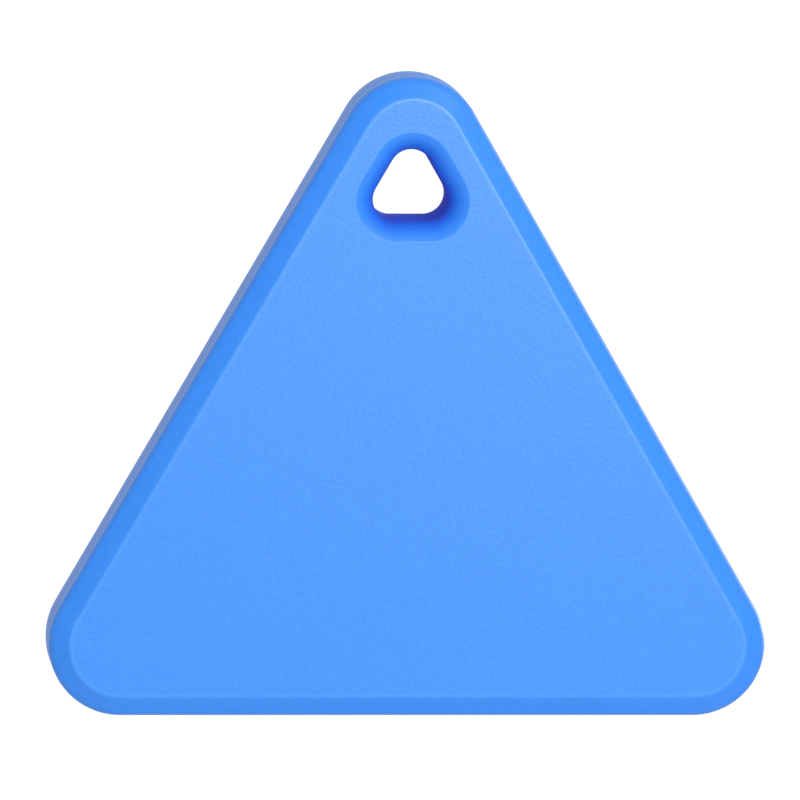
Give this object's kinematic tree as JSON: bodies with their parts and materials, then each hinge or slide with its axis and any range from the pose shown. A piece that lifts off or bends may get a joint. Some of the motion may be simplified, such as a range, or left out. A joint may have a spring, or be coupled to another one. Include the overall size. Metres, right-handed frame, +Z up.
{
  "type": "bluetooth tracker tag",
  "caption": "Rounded triangular key finder tag with a flared key-ring hole, a snap-off front lid over a coin cell, and a push button, light and buzzer holes in its back.",
  "frame": {"origin": "under the middle of the flat bottom edge, where the box's lowest face is, halfway through the thickness", "axes": "+Z up to the key-ring corner, +Y out of the back face with the button, -Y out of the plain front face, +X to the right as seen from the front"},
  "size_m": [0.05, 0.0088, 0.0447],
  "materials": {
    "shell_blue": "fine spark-eroded texture, satin",
    "button_blue": "smoother satin than the shells",
    "battery_steel": "brushed stainless steel",
    "battery_nickel": "satin nickel plate",
    "gasket_plastic": "black moulded seal",
    "cathode_paste": "pressed black powder",
    "separator_felt": "white non-woven felt",
    "lithium_metal": "dull soft metal",
    "holder_plastic": "natural white plastic",
    "contact_nickel": "bright nickel plate",
    "board_laminate": "green solder mask on glass laminate",
    "trace_copper": "gilt copper",
    "chip_resin": "black moulding resin",
    "ferrite": "dark grey ferrite",
    "capacitor_ceramic": "tan ceramic with tinned ends",
    "switch_plastic": "black moulded plastic",
    "spring_steel": "bright spring steel",
    "plunger_plastic": "white moulded plastic",
    "led_plastic": "white moulded plastic",
    "led_resin": "yellow phosphor resin",
    "clear_plastic": "clear moulded plastic",
    "buzzer_brass": "rolled brass sheet",
    "piezo_ceramic": "silvered white ceramic",
    "lead_red": "red wire insulation",
    "lead_black": "black wire insulation"
  },
  "bodies": {
    "case": {"back_shell": "shell_blue", "battery_holder": "holder_plastic", "positive_contact": "contact_nickel", "negative_contact": "contact_nickel", "circuit_board": "board_laminate", "antenna_trace": "trace_copper", "radio_chip": "chip_resin", "crystal": "battery_steel", "inductor": "ferrite", "capacitor_1": "capacitor_ceramic", "capacitor_2": "capacitor_ceramic", "capacitor_3": "capacitor_ceramic", "capacitor_4": "capacitor_ceramic", "resistor_1": "chip_resin", "resistor_2": "chip_resin", "resistor_3": "chip_resin", "switch_body": "switch_plastic", "switch_dome": "spring_steel", "switch_cover": "spring_steel", "switch_terminal_1": "contact_nickel", "switch_terminal_2": "contact_nickel", "switch_terminal_3": "contact_nickel", "switch_terminal_4": "contact_nickel", "led_body": "led_plastic", "led_lens": "led_resin", "light_pipe": "clear_plastic", "buzzer_plate": "buzzer_brass", "buzzer_ceramic": "piezo_ceramic", "buzzer_lead_red": "lead_red", "buzzer_lead_black": "lead_black"},
    "lid": {"front_shell": "shell_blue"},
    "battery": {"battery_can": "battery_steel", "battery_cap": "battery_nickel", "battery_gasket": "gasket_plastic", "cathode_pellet": "cathode_paste", "battery_separator": "separator_felt", "lithium_disc": "lithium_metal"},
    "button": {"button_cap": "button_blue"},
    "plunger": {"switch_plunger": "plunger_plastic"}
  },
  "joints": [
    {"name": "lid_pull", "type": "slide", "parent": "case", "child": "lid", "axis": [0, -1, 0], "range_m": [0, 0.016]},
    {"name": "battery_lift", "type": "slide", "parent": "case", "child": "battery", "axis": [0, -1, 0], "range_m": [0, 0.008]},
    {"name": "button_press", "type": "slide", "parent": "case", "child": "button", "axis": [0, -1, 0], "range_m": [0, 0.00025], "stiffness_N_per_m": 3200, "deforming": ["switch_dome"]},
    {"name": "plunger_press", "type": "slide", "parent": "case", "child": "plunger", "axis": [0, -1, 0], "range_m": [0, 0.00025]}
  ],
  "couplings": [
    {"joint": "battery_lift", "follows": "lid_pull", "ratio": 0.5},
    {"joint": "plunger_press", "follows": "button_press", "ratio": 1}
  ]
}
